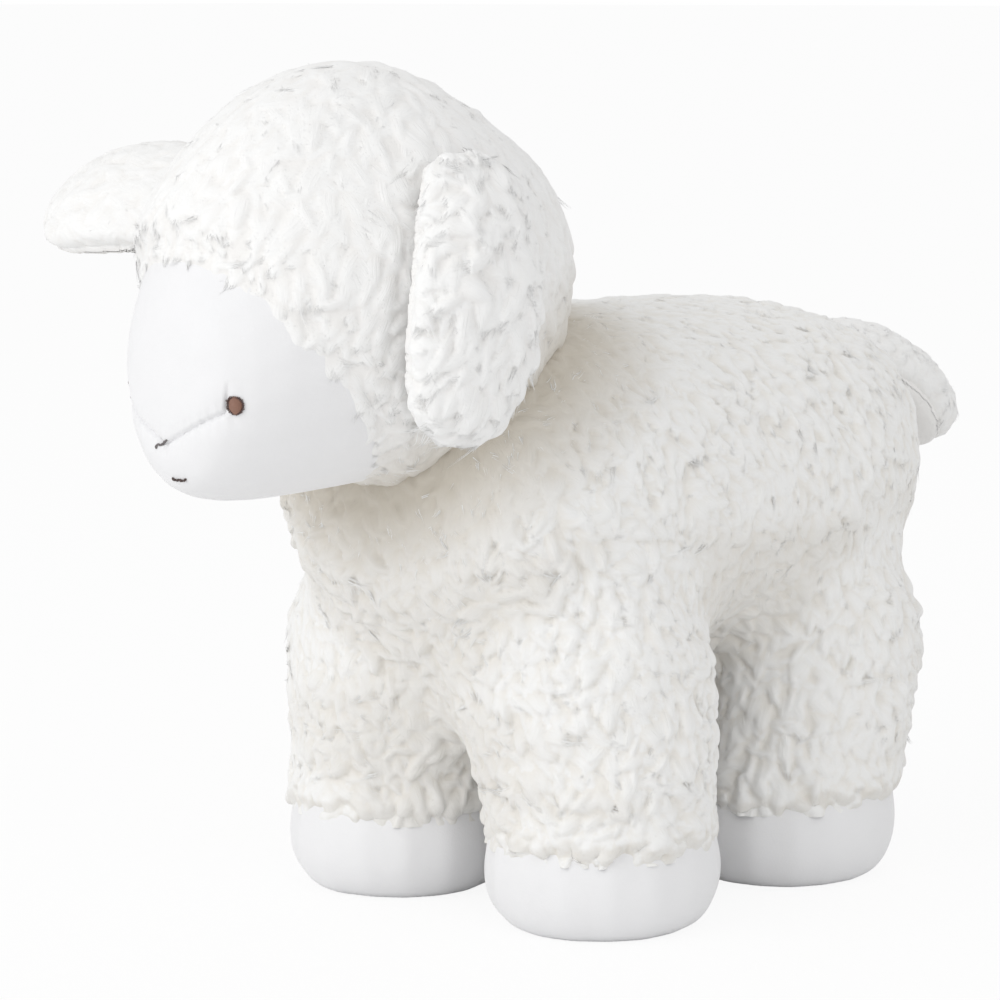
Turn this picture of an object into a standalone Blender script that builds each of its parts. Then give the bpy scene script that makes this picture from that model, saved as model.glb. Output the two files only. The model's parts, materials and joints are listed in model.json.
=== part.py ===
"""A standing plush sheep, built the way it is sewn: fleece covers over stuffing, a smooth face
and smooth feet, two flap ears and a flap tail on sewn hinges.

The sheep faces -Y, its left side is +X, and it stands on four flat soles at the lowest Z.
Every length below is in metres. Tables whose names end in shares are parts of named sizes.
"""

import math

import bmesh
import bpy
from mathutils import Matrix, Vector
from mathutils.bvhtree import BVHTree

MM = 0.001

# Fabric and seams
fabric_thickness = 1.2 * MM
body_pile = 4.5 * MM
leg_pile = 5.0 * MM
hood_pile = 7.0 * MM
seam_gap = 0.3 * MM
flap_gap = 0.7 * MM

# Torso: sizes of the backing cloth, without the pile
body_length = 231 * MM
body_width = 141 * MM
body_height = 108 * MM
body_centre_height = 140 * MM
body_shift_back = 8 * MM
body_ring_shares = (
    (-0.50, 0.46, 0.47, 0.01),
    (-0.44, 0.81, 0.84, 0.00),
    (-0.26, 0.97, 0.99, 0.00),
    (0.02, 1.00, 1.00, 0.00),
    (0.25, 0.99, 0.99, 0.00),
    (0.42, 0.86, 0.88, -0.02),
    (0.50, 0.52, 0.58, -0.03),
)
body_roundness = 0.85

# Head: backing cloth, from the back of the head to the nose
head_length = 151 * MM
head_width = 103 * MM
head_height = 126 * MM
head_back_reach = 43 * MM
head_centre_height = 211 * MM
head_ring_shares = (
    (0.00, 0.30, 0.32, 0.02),
    (0.07, 0.58, 0.56, 0.00),
    (0.22, 0.88, 0.86, -0.01),
    (0.40, 1.00, 0.99, 0.01),
    (0.58, 0.98, 1.00, 0.00),
    (0.75, 0.84, 0.90, -0.07),
    (0.88, 0.64, 0.68, -0.16),
    (0.96, 0.40, 0.41, -0.25),
)
neck_hole_radius = 26 * MM
neck_hole_reach = 76 * MM
neck_hole_height = 172 * MM
neck_hole_tilt = math.radians(45)

# The head sits turned a little to its right about the neck
head_turn = math.radians(10)
head_turn_reach = 85 * MM

# Face panel: the hood ends on a leaning plane through the forehead and the throat
hood_edge_reach = 181 * MM
hood_edge_height = 222 * MM
hood_edge_lean = math.radians(41)
gusset_tip_height = 165 * MM
eye_height = 179 * MM
gusset_eye_drop = 2.5 * MM
gusset_eye_height = eye_height - gusset_eye_drop
gusset_eye_width = 52 * MM
gusset_brow_rise = 17 * MM
gusset_brow_height = eye_height + gusset_brow_rise
gusset_brow_width = 58 * MM
gusset_top_height = 250 * MM

# Legs and feet: the limb is one stuffed form, fleece above the ankle seam and smooth below
leg_spacing_across = 89 * MM
leg_spacing_along = 98 * MM
leg_width = 67 * MM
leg_rise = 98 * MM
haunch_reach = 16 * MM
shoulder_reach = 3 * MM
leg_ring_shares = (
    (0.06, 1.00, 0.00, 0.20),
    (0.40, 1.06, 0.02, 0.90),
    (0.76, 1.06, 0.12, 1.00),
    (1.00, 0.50, 0.25, 0.60),
)
foot_width = 76 * MM
foot_length = 79 * MM
foot_height = 33 * MM
foot_ring_shares = (
    (-0.035, 0.62),
    (0.04, 0.84),
    (0.36, 1.01),
    (0.80, 0.97),
)
sole_radius = 24 * MM

# Ears: flaps sewn to the sides of the hood
ear_length = 84 * MM
ear_width = 52 * MM
ear_fleece_thickness = 11.0 * MM
ear_lining_thickness = 3.5 * MM
ear_curl_radius = 96 * MM
ear_seat_reach = 109 * MM
ear_seat_height = 245 * MM
ear_raised_drop = 17 * MM
ear_hanging_swing = math.radians(27)
ear_hanging_fall = math.radians(6)
ear_hanging_sweep = math.radians(0)
ear_raised_swing = math.radians(111)
ear_raised_fall = math.radians(-40)
ear_raised_sweep = math.radians(20)
ear_ring_shares = (
    (-0.05, 0.50, 0.50),
    (0.02, 0.66, 0.80),
    (0.22, 0.90, 1.00),
    (0.52, 1.04, 1.00),
    (0.80, 0.92, 0.90),
    (0.98, 0.52, 0.60),
)

# Tail: a flap sewn to the top of the rump, lying a little to the left
tail_length = 62 * MM
tail_width = 40 * MM
tail_fleece_thickness = 12.0 * MM
tail_lining_thickness = 7.0 * MM
tail_curl_radius = 48 * MM
tail_seat_height = 168 * MM
tail_swing = math.radians(94)
tail_turn = math.radians(15)
tail_ring_shares = (
    (-0.05, 0.56, 0.50),
    (0.02, 0.74, 0.85),
    (0.26, 0.94, 1.00),
    (0.56, 1.02, 1.00),
    (0.82, 0.92, 1.08),
    (0.98, 0.58, 0.76),
)

# Embroidery
eye_radius = 3.1 * MM
eye_thickness = 0.8 * MM
eye_top_share = 0.86
eye_spacing = 57 * MM
thread_radius = 0.6 * MM
nose_stitch_width = 8 * MM
nose_stitch_height = 168 * MM
nose_stitch_dip = 2 * MM
mouth_stitch_width = 8 * MM
mouth_stitch_height = 155 * MM
mouth_stitch_dip = 1.2 * MM

# Cutters run past what they cut by this much
overrun = 60 * MM

fleece_colour = (0.86, 0.83, 0.78)
smooth_colour = (0.90, 0.90, 0.92)
lining_colour = (0.88, 0.87, 0.87)
stuffing_colour = (0.82, 0.84, 0.88)
eye_colour = (0.16, 0.07, 0.045)
nose_colour = (0.34, 0.31, 0.31)
mouth_colour = (0.20, 0.12, 0.10)


def clear_scene():
    for item in list(bpy.data.objects):
        bpy.data.objects.remove(item, do_unlink=True)


def new_collection(name):
    collection = bpy.data.collections.new(name)
    bpy.context.scene.collection.children.link(collection)
    return collection


def new_material(name, colour, roughness):
    material = bpy.data.materials.new(name)
    material.use_nodes = True
    shader = material.node_tree.nodes["Principled BSDF"]
    shader.inputs["Base Color"].default_value = (*colour, 1.0)
    shader.inputs["Roughness"].default_value = roughness
    shader.inputs["Metallic"].default_value = 0.0
    material.diffuse_color = (*colour, 1.0)
    return material


def as_object(name, mesh, collection, material=None):
    item = bpy.data.objects.new(name, mesh)
    collection.objects.link(item)
    if material:
        mesh.materials.append(material)
    return item


def add_subdivision(item, levels=1):
    """Swells a cage. Layers grown from one cage keep the same diagonals, so their gap is even."""
    modifier = item.modifiers.new("swell", "SUBSURF")
    modifier.levels = levels
    modifier.render_levels = levels
    split = item.modifiers.new("same diagonals", "TRIANGULATE")
    split.quad_method = "FIXED"


def add_offset(item, distance):
    """Moves the surface along its normals: out when positive, in when negative."""
    modifier = item.modifiers.new("offset", "DISPLACE")
    modifier.mid_level = 0.0
    modifier.strength = distance


def add_skin(item, inward, outward):
    """Turns the backing surface into cloth that reaches inward and outward from it."""
    modifier = item.modifiers.new("skin", "SOLIDIFY")
    modifier.thickness = inward + outward
    modifier.offset = (outward - inward) / (outward + inward)


def add_boolean(item, cutter, operation):
    modifier = item.modifiers.new(cutter.name, "BOOLEAN")
    modifier.operation = operation
    modifier.object = cutter
    modifier.solver = "EXACT"


def cut(item, *cutters):
    for cutter in cutters:
        add_boolean(item, cutter, "DIFFERENCE")


def keep_inside(item, cutter):
    add_boolean(item, cutter, "INTERSECT")


def as_cutter(item):
    item.hide_render = True
    item.display_type = "WIRE"
    return item


def box_cutter(name, low, high, collection):
    """An upright box between two corners."""
    form = bmesh.new()
    bmesh.ops.create_cube(form, size=1)
    middle = (Vector(low) + Vector(high)) / 2
    size = Vector(high) - Vector(low)
    for vertex in form.verts:
        vertex.co = Vector((vertex.co.x * size.x, vertex.co.y * size.y, vertex.co.z * size.z)) + middle
    mesh = bpy.data.meshes.new(name)
    form.to_mesh(mesh)
    form.free()
    return as_cutter(as_object(name, mesh, collection))


def round_cutter(name, radius, length, collection):
    """A cylinder about its own Z axis, centred on its origin."""
    form = bmesh.new()
    bmesh.ops.create_cone(
        form, cap_ends=True, segments=24, radius1=radius, radius2=radius, depth=length
    )
    mesh = bpy.data.meshes.new(name)
    form.to_mesh(mesh)
    form.free()
    return as_cutter(as_object(name, mesh, collection))


def ring_loop(centre, side, rise, count, roundness):
    """Points of one rounded section, set out so that the subdivided form reaches side and rise."""
    growth = 6 / (4 + 2 * math.cos(math.tau / count))
    points = []
    for step in range(count):
        turn = math.tau * step / count
        across = math.copysign(abs(math.cos(turn)) ** roundness, math.cos(turn))
        upward = math.copysign(abs(math.sin(turn)) ** roundness, math.sin(turn))
        points.append(centre + side * (across * growth) + rise * (upward * growth))
    return points


def cage_mesh(name, loops):
    """A closed cage through loops that have the same number of points."""
    form = bmesh.new()
    rows = [[form.verts.new(point) for point in loop] for loop in loops]
    count = len(rows[0])
    for lower, upper in zip(rows, rows[1:]):
        for step in range(count):
            after = (step + 1) % count
            form.faces.new((lower[step], lower[after], upper[after], upper[step]))
    form.faces.new(list(reversed(rows[0])))
    form.faces.new(rows[-1])
    bmesh.ops.recalc_face_normals(form, faces=form.faces)
    for face in form.faces:
        face.smooth = True
    mesh = bpy.data.meshes.new(name)
    form.to_mesh(mesh)
    form.free()
    return mesh


def body_cage():
    loops = []
    for along, wide, tall, lift in body_ring_shares:
        reach = body_shift_back + along * body_length
        centre = Vector((0, reach, body_centre_height + lift * body_height))
        side = Vector((wide * body_width / 2, 0, 0))
        rise = Vector((0, 0, tall * body_height / 2))
        loops.append(ring_loop(centre, side, rise, 12, body_roundness))
    return cage_mesh("body_cage", loops)


def head_cage():
    loops = []
    for along, wide, tall, lift in head_ring_shares:
        reach = -head_back_reach - along * head_length
        centre = Vector((0, reach, head_centre_height + lift * head_height))
        side = Vector((wide * head_width / 2, 0, 0))
        rise = Vector((0, 0, tall * head_height / 2))
        loops.append(ring_loop(centre, side, rise, 12, 1.0))
    return cage_mesh("head_cage", loops)


def limb_cage(lean_back):
    """A leg with its foot, standing on the origin, leaning in towards -X and back by lean_back."""
    loops = []
    for high, wide in foot_ring_shares:
        centre = Vector((0, 0, high * foot_height))
        side = Vector((wide * foot_width / 2, 0, 0))
        rise = Vector((0, wide * foot_length / 2, 0))
        loops.append(ring_loop(centre, side, rise, 8, 1.0))
    for high, wide, lean, back in leg_ring_shares:
        inward = -lean * leg_spacing_across / 2
        centre = Vector((inward, back * lean_back, foot_height + high * leg_rise))
        side = Vector((wide * leg_width / 2, 0, 0))
        rise = Vector((0, wide * leg_width / 2, 0))
        loops.append(ring_loop(centre, side, rise, 8, 1.0))
    return cage_mesh("limb_cage", loops)


def flap_half(name, shares, length, width, thickness, curl_radius, outer, mirrored):
    """One fabric half of a flap, hinged along local Y and hanging down local Z.

    The outer half lies on the local +X side of the mid surface and the lining on the -X side.
    The flap curls towards its lining on a circle. The root end stays close round the hinge.
    """
    facing = 1 if outer else -1
    profile_shares = ((-1.0, 0.0), (-0.74, 0.92), (0.0, 1.25), (0.74, 0.92), (1.0, 0.0), (0.0, 0.0))
    loops = []
    for along, wide, thick in shares:
        turn = along * length / curl_radius
        spine = Vector((-curl_radius * (1 - math.cos(turn)), 0, -curl_radius * math.sin(turn)))
        normal = Vector((math.cos(turn), 0, -math.sin(turn)))
        loop = []
        for across, out in profile_shares:
            lift = facing * (seam_gap / 2 + out * thick * thickness)
            loop.append(spine + normal * lift + Vector((0, across * wide * width / 2, 0)))
        loops.append([Vector((-p.x, p.y, p.z)) for p in loop] if mirrored else loop)
    return cage_mesh(name, loops)


def evaluated_mesh(item):
    """A copy of an object's mesh as its modifiers leave it, in world space."""
    bpy.context.view_layer.update()
    graph = bpy.context.evaluated_depsgraph_get()
    graph.update()
    source = item.evaluated_get(graph)
    form = bmesh.new()
    form.from_mesh(source.to_mesh())
    form.transform(source.matrix_world)
    source.to_mesh_clear()
    return form


def surface_tree(item):
    form = evaluated_mesh(item)
    tree = BVHTree.FromBMesh(form)
    form.free()
    return tree


def least_gap(pieces, tree):
    """The smallest distance from the vertices of the pieces to a surface, negative inside it."""
    least = None
    for piece in pieces:
        form = evaluated_mesh(piece)
        for vertex in form.verts:
            spot, normal, _, distance = tree.find_nearest(vertex.co)
            if (vertex.co - spot).dot(normal) < 0:
                distance = -distance
            least = distance if least is None else min(least, distance)
        form.free()
    return least


def seat_hinge(hinge, pieces, tree, outward, gap):
    """Slides a hinge along outward until its pieces lie one gap from the surface they meet."""
    for _ in range(4):
        hinge.location = hinge.location + outward * (gap - least_gap(pieces, tree))
        bpy.context.view_layer.update()


def surface_spot(tree, start, direction):
    """The first point of a surface along a direction, or the nearest point where the surface lies aside."""
    spot, normal, _, _ = tree.ray_cast(start, direction)
    if spot is None:
        spot, normal, _, _ = tree.find_nearest(start)
    return spot, normal


clear_scene()
parts = new_collection("plush_sheep")
cutters = new_collection("cutters")

fleece = new_material("fleece", fleece_colour, 0.95)
smooth = new_material("smooth_pile", smooth_colour, 0.85)
lining = new_material("ear_lining", lining_colour, 0.9)
stuffing = new_material("stuffing", stuffing_colour, 1.0)
eye_thread = new_material("eye_thread", eye_colour, 0.7)
nose_thread = new_material("nose_thread", nose_colour, 0.7)
mouth_thread = new_material("mouth_thread", mouth_colour, 0.7)

toy = bpy.data.objects.new("toy_origin", None)
parts.objects.link(toy)
head_frame = bpy.data.objects.new("head_frame", None)
parts.objects.link(head_frame)


def build_body():
    """The torso: a fleece cover with a neck hole over one stuffing."""
    cage = body_cage()
    cover = as_object("body_cover", cage.copy(), parts, fleece)
    add_subdivision(cover)
    add_skin(cover, fabric_thickness, body_pile)
    neck = round_cutter("neck_opening", neck_hole_radius, overrun, cutters)
    tilt = Matrix.Rotation(neck_hole_tilt, 3, "X")
    neck.location = Vector((0, -neck_hole_reach, neck_hole_height)) + tilt @ Vector((0, 0, overrun / 2))
    neck.rotation_euler = tilt.to_euler()
    cut(cover, neck)
    filling = as_object("body_stuffing", cage.copy(), parts, stuffing)
    add_subdivision(filling)
    add_offset(filling, -(fabric_thickness + seam_gap))
    clearance = as_object("body_clearance", cage.copy(), cutters)
    add_subdivision(clearance)
    add_offset(clearance, body_pile + seam_gap)
    as_cutter(clearance)
    return cover, filling, clearance


def hood_edge_cutter(name, shift):
    """A block in front of the leaning plane where the hood meets the face."""
    block = box_cutter(
        name,
        (-head_width, -head_length, -head_height),
        (head_width, shift, head_height),
        cutters,
    )
    block.location = (0, -hood_edge_reach, hood_edge_height)
    block.rotation_euler = (hood_edge_lean, 0, 0)
    return block


def gusset_cutter(name, growth):
    """A shield outline, pointed at the nose, pushed through the face along Y."""
    outline = (
        (0, gusset_tip_height - growth),
        (gusset_eye_width / 2 + growth, gusset_eye_height - growth),
        (gusset_brow_width / 2 + growth, gusset_brow_height),
        (gusset_brow_width / 2 + growth, gusset_top_height + growth),
        (-gusset_brow_width / 2 - growth, gusset_top_height + growth),
        (-gusset_brow_width / 2 - growth, gusset_brow_height),
        (-gusset_eye_width / 2 - growth, gusset_eye_height - growth),
    )
    form = bmesh.new()
    front = [form.verts.new((x, -head_back_reach - head_length - overrun, z)) for x, z in outline]
    face = form.faces.new(front)
    pushed = bmesh.ops.extrude_face_region(form, geom=[face])
    moved = [item for item in pushed["geom"] if isinstance(item, bmesh.types.BMVert)]
    bmesh.ops.translate(form, verts=moved, vec=(0, head_length, 0))
    bmesh.ops.recalc_face_normals(form, faces=form.faces)
    mesh = bpy.data.meshes.new(name)
    form.to_mesh(mesh)
    form.free()
    return as_cutter(as_object(name, mesh, cutters))


def build_head(clearance):
    """The head: a fleece hood, a forehead gusset and two cheeks over one stuffing."""
    cage = head_cage()
    before_edge = hood_edge_cutter("hood_edge_face_side", 0)
    past_edge = hood_edge_cutter("hood_edge_hood_side", seam_gap)
    gusset_keep = gusset_cutter("gusset_shape", 0)
    gusset_clear = gusset_cutter("gusset_clearance", seam_gap)
    hood = as_object("head_hood", cage.copy(), parts, fleece)
    add_subdivision(hood)
    add_skin(hood, fabric_thickness, hood_pile)
    cut(hood, past_edge, clearance)
    gusset = as_object("forehead_gusset", cage.copy(), parts, smooth)
    add_subdivision(gusset)
    add_skin(gusset, fabric_thickness, fabric_thickness)
    keep_inside(gusset, before_edge)
    keep_inside(gusset, gusset_keep)
    for name, side in (("cheek_left", 1), ("cheek_right", -1)):
        low_x = seam_gap / 2 if side > 0 else -head_width
        high_x = head_width if side > 0 else -seam_gap / 2
        half = box_cutter(
            name + "_half",
            (low_x, -head_back_reach - 2 * head_length, head_centre_height - head_height),
            (high_x, 0, head_centre_height + head_height),
            cutters,
        )
        cheek = as_object(name, cage.copy(), parts, smooth)
        add_subdivision(cheek)
        add_skin(cheek, fabric_thickness, fabric_thickness)
        keep_inside(cheek, before_edge)
        keep_inside(cheek, half)
        cut(cheek, gusset_clear)
    filling = as_object("head_stuffing", cage.copy(), parts, stuffing)
    add_subdivision(filling)
    add_offset(filling, -(fabric_thickness + seam_gap))
    cut(filling, clearance)
    whole_face = as_object("whole_face", cage.copy(), cutters)
    add_subdivision(whole_face)
    add_offset(whole_face, fabric_thickness)
    as_cutter(whole_face)
    return hood, whole_face


def build_limb(name, side, end, clearance):
    """A leg cover, a smooth foot, a sole and the stuffing, cut by the torso where they meet it."""
    cage = limb_cage(haunch_reach if end > 0 else -shoulder_reach)
    if side < 0:
        for vertex in cage.vertices:
            vertex.co.x = -vertex.co.x
        cage.flip_normals()
    place = Vector((side * leg_spacing_across / 2, end * leg_spacing_along / 2, 0))
    reach = foot_length
    above = box_cutter(
        name + "_above_ankle",
        (-reach, -reach, foot_height - seam_gap / 2),
        (reach, reach, foot_height + leg_rise + overrun),
        cutters,
    )
    below = box_cutter(
        name + "_below_ankle",
        (-reach, -reach, -overrun),
        (reach, reach, foot_height + seam_gap / 2),
        cutters,
    )
    floor = box_cutter(name + "_floor", (-reach, -reach, -overrun), (reach, reach, 0), cutters)
    sole_keep = round_cutter(name + "_sole_shape", sole_radius, foot_height, cutters)
    sole_clear = round_cutter(name + "_sole_clearance", sole_radius + seam_gap, foot_height, cutters)
    leg = as_object("leg_cover_" + name, cage.copy(), parts, fleece)
    add_subdivision(leg)
    add_skin(leg, fabric_thickness, leg_pile)
    cut(leg, below, clearance)
    foot = as_object("foot_" + name, cage.copy(), parts, smooth)
    add_subdivision(foot)
    add_skin(foot, 2 * fabric_thickness, seam_gap)
    cut(foot, above, floor, sole_clear)
    sole = as_object("sole_" + name, cage.copy(), parts, smooth)
    add_subdivision(sole)
    add_skin(sole, 2 * fabric_thickness, seam_gap)
    keep_inside(sole, sole_keep)
    cut(sole, floor)
    filling = as_object("leg_stuffing_" + name, cage.copy(), parts, stuffing)
    add_subdivision(filling)
    add_offset(filling, -(2 * fabric_thickness + seam_gap))
    cut(filling, clearance)
    for item in (above, below, floor, sole_keep, sole_clear, leg, foot, sole, filling):
        item.location = place
    return leg, foot, sole, filling


def build_flap(names, hinge_name, shares, sizes, mirrored):
    """A two-layer flap on an empty that stands on its hinge line."""
    length, width, outer_thickness, lining_thickness, curl_radius = sizes
    hinge = bpy.data.objects.new(hinge_name, None)
    parts.objects.link(hinge)
    pieces = []
    layers = ((names[0], outer_thickness, True, fleece), (names[1], lining_thickness, False, lining))
    for name, thickness, outer, material in layers:
        mesh = flap_half(name, shares, length, width, thickness, curl_radius, outer, mirrored)
        piece = as_object(name, mesh, parts, material)
        add_subdivision(piece)
        piece.parent = hinge
        pieces.append(piece)
    return hinge, pieces


def build_ears(hood):
    tree = surface_tree(hood)
    sizes = (ear_length, ear_width, ear_fleece_thickness, ear_lining_thickness, ear_curl_radius)
    hinges = []
    poses = (
        ("left", 1, 0, ear_hanging_swing, ear_hanging_fall, ear_hanging_sweep),
        ("right", -1, ear_raised_drop, ear_raised_swing, ear_raised_fall, ear_raised_sweep),
    )
    for word, side, drop, swing, fall, sweep in poses:
        names = ("ear_fleece_" + word, "ear_lining_" + word)
        hinge, pieces = build_flap(names, "ear_hinge_" + word, ear_ring_shares, sizes, side < 0)
        start = Vector((side * head_width, -ear_seat_reach, ear_seat_height - drop))
        spot, normal = surface_spot(tree, start, Vector((-side, 0, 0)))
        hinge.location = spot + normal * ear_fleece_thickness
        seam = Matrix.Rotation(-side * sweep, 3, "Z") @ Matrix.Rotation(-fall, 3, "X")
        hinge.rotation_euler = (seam @ Matrix.Rotation(-side * swing, 3, "Y")).to_euler()
        seat_hinge(hinge, pieces, tree, normal, flap_gap)
        hinges.append((hinge, pieces))
    return hinges


def build_tail(cover):
    tree = surface_tree(cover)
    sizes = (tail_length, tail_width, tail_fleece_thickness, tail_lining_thickness, tail_curl_radius)
    names = ("tail_fleece", "tail_lining")
    hinge, pieces = build_flap(names, "tail_hinge", tail_ring_shares, sizes, False)
    start = Vector((0, body_length, tail_seat_height))
    spot, normal = surface_spot(tree, start, Vector((0, -1, 0)))
    hinge.location = spot + normal * tail_fleece_thickness
    turned = Matrix.Rotation(math.pi / 2 - tail_turn, 3, "Z")
    hinge.rotation_euler = (turned @ Matrix.Rotation(-tail_swing, 3, "Y")).to_euler()
    seat_hinge(hinge, pieces, tree, normal, flap_gap)
    return hinge, pieces


def build_eyes(face_tree):
    for word, side in (("left", 1), ("right", -1)):
        start = Vector((side * eye_spacing / 2, -head_back_reach - head_length - overrun, eye_height))
        spot, normal = surface_spot(face_tree, start, Vector((0, 1, 0)))
        form = bmesh.new()
        bmesh.ops.create_cone(
            form,
            cap_ends=True,
            segments=20,
            radius1=eye_radius,
            radius2=eye_radius * eye_top_share,
            depth=eye_thickness,
        )
        mesh = bpy.data.meshes.new("eye_" + word)
        form.to_mesh(mesh)
        form.free()
        eye = as_object("eye_" + word, mesh, parts, eye_thread)
        eye.location = spot + normal * (eye_thickness / 2 + seam_gap)
        eye.rotation_euler = normal.to_track_quat("Z", "Y").to_euler()


def build_stitch(name, width, height, dip, material, face_tree):
    """A short bar of thread laid across the face, sagging in the middle by dip."""
    curve = bpy.data.curves.new(name, "CURVE")
    curve.dimensions = "3D"
    curve.bevel_depth = thread_radius
    curve.bevel_resolution = 1
    curve.use_fill_caps = True
    line = curve.splines.new("POLY")
    steps = 6
    line.points.add(steps)
    for step in range(steps + 1):
        share = step / steps
        across = (share - 1 / 2) * width
        drop = dip * (1 - (2 * share - 1) ** 2)
        start = Vector((across, -head_back_reach - head_length - overrun, height - drop))
        spot, normal = surface_spot(face_tree, start, Vector((0, 1, 0)))
        point = spot + normal * (thread_radius + seam_gap)
        line.points[step].co = (*point, 1.0)
    stitch = bpy.data.objects.new(name, curve)
    parts.objects.link(stitch)
    curve.materials.append(material)


def turn_head(head_items):
    """Turns everything that belongs to the head about the upright line through the neck."""
    for item in head_items:
        item.parent = head_frame
    turned = Matrix.Rotation(-head_turn, 3, "Z")
    pivot = Vector((0, -head_turn_reach, 0))
    head_frame.location = pivot - turned @ pivot
    head_frame.rotation_euler = turned.to_euler()


def stand_on_origin():
    """Moves the whole toy so that its box stands centred on the origin."""
    bpy.context.view_layer.update()
    low = Vector((math.inf, math.inf, math.inf))
    high = -low
    for item in parts.objects:
        if item.type not in {"MESH", "CURVE"}:
            continue
        form = evaluated_mesh(item)
        for vertex in form.verts:
            low = Vector(map(min, low, vertex.co))
            high = Vector(map(max, high, vertex.co))
        form.free()
    toy.location = -Vector(((low.x + high.x) / 2, (low.y + high.y) / 2, low.z))


def free_items():
    return {item for item in list(parts.objects) + list(cutters.objects) if item.parent is None}


body_cover, body_filling, body_clearance = build_body()
build_tail(body_cover)
for limb_name, limb_side, limb_end in (
    ("front_left", 1, -1),
    ("front_right", -1, -1),
    ("rear_left", 1, 1),
    ("rear_right", -1, 1),
):
    build_limb(limb_name, limb_side, limb_end, body_clearance)
before_head = free_items()
head_hood, face_form = build_head(body_clearance)
build_ears(head_hood)
face = surface_tree(face_form)
build_eyes(face)
build_stitch("nose_stitch", nose_stitch_width, nose_stitch_height, nose_stitch_dip, nose_thread, face)
build_stitch(
    "mouth_stitch", mouth_stitch_width, mouth_stitch_height, mouth_stitch_dip, mouth_thread, face
)
turn_head(free_items() - before_head)
for piece in free_items() - {toy}:
    piece.parent = toy
stand_on_origin()
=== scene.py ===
"""The look of a plush sheep: curly fleece, smooth short pile and embroidery on a pale floor.

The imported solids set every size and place. The fillings of the torso, the head and the legs are
grown to the cloth's surface and covered with wool; the face, the feet and the linings are smooth cloth.
"""
import json
import math

import bmesh
import bpy
import numpy as np
from mathutils import Matrix, Vector, noise
from mathutils.bvhtree import BVHTree
from mathutils.kdtree import KDTree

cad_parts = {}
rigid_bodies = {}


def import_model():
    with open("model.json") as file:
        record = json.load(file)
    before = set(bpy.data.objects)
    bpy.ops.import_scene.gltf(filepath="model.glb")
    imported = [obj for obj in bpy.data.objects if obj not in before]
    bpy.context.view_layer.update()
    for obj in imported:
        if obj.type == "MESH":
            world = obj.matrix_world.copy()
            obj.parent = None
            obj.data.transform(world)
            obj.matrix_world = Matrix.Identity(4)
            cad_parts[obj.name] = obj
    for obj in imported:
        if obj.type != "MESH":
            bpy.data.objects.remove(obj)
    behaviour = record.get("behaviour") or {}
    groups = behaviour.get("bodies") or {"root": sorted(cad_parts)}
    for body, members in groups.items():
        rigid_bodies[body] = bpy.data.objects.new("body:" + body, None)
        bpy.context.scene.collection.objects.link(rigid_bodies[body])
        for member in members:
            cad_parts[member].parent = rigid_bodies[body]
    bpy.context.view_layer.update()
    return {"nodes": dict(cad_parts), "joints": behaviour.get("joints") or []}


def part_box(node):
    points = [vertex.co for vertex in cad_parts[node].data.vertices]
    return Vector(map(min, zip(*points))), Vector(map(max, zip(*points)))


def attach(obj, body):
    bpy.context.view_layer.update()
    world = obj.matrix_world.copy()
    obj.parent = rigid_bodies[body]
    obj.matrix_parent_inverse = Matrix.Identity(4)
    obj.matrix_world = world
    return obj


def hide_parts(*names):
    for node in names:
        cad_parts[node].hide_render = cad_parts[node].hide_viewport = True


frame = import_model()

MM = 0.001
SIDES = ("left", "right")
LIMBS = ("front_left", "front_right", "rear_left", "rear_right")
PANELS = ("head_hood", "forehead_gusset", "cheek_left", "cheek_right")
FACE_CLOTHS = ("forehead_cloth", "cheek_cloth_left", "cheek_cloth_right")

# Measures of the solids
body_low, body_high = np.array(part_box("body_cover"))
body_middle = (body_low + body_high) / 2
ankle_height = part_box("foot_front_left")[1][2]

# Cloth over the fillings: how far it is grown, the size of its faces and its rounds of smoothing
body_grow = 5.0 * MM
leg_grow = 6.0 * MM
head_grow = 2.7 * MM
foot_grow = 0.9 * MM
coarse_voxel = 2.2 * MM
fine_voxel = 0.8 * MM
flap_voxel = 0.6 * MM
body_rounds = 12
leg_rounds = 8
head_rounds = 60
foot_rounds = 70
flap_rounds = 10
skin_rounds = 11

# Soft lumps of the stuffing, each a height and a size
skin_lumps = ((2.0 * MM, 45 * MM), (0.8 * MM, 16 * MM))
head_lumps = ((0.7 * MM, 30 * MM),)
foot_lumps = ((0.5 * MM, 20 * MM),)

# Joins of the legs and the torso, with the zones of smoothing and filling as shares of the join's reach
lean_rise = 52 * MM
lean_inward = 10 * MM
lean_forward = 4 * MM
join_reach = 14 * MM
smoothed_zone = 1.6
filled_zone = 2.6
join_share = 0.9
join_rounds = 80
fill_rounds = 220
fill_rounds_per_normal = 10

# Hems of the legs and edges of the hood
edge_sink = 1.6 * MM
hem_reach = 2 * MM
hem_drop = 5 * MM
hem_ragged = 4 * MM
hem_ragged_size = 5 * MM
hem_tuft_growth = 1.2
hood_rise = 3.2 * MM
hood_ramp = 9 * MM
hood_overlap = 6 * MM
crown_rise = 3.5 * MM
crown_facing = Vector((-0.42, -0.38, 0.82))
crown_start = 0.4
crown_ramp = 0.5

# Wool: the squares that hold one tuft each, and how tufts and strands are shaped
body_spacing = 3.7 * MM
hood_spacing = 4.4 * MM
ear_spacing = 4.2 * MM
tail_spacing = 3.2 * MM
tufts_blended = 7
tuft_blend = 4.2
lock_shading = 1.2
strand_start = (0.15, 0.6)
strand_breadth = 1.3
strand_thickness = 0.4
streak_scale = (950.0, 130.0, 60.0)
streak_depth = 0.5 * MM

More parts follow.
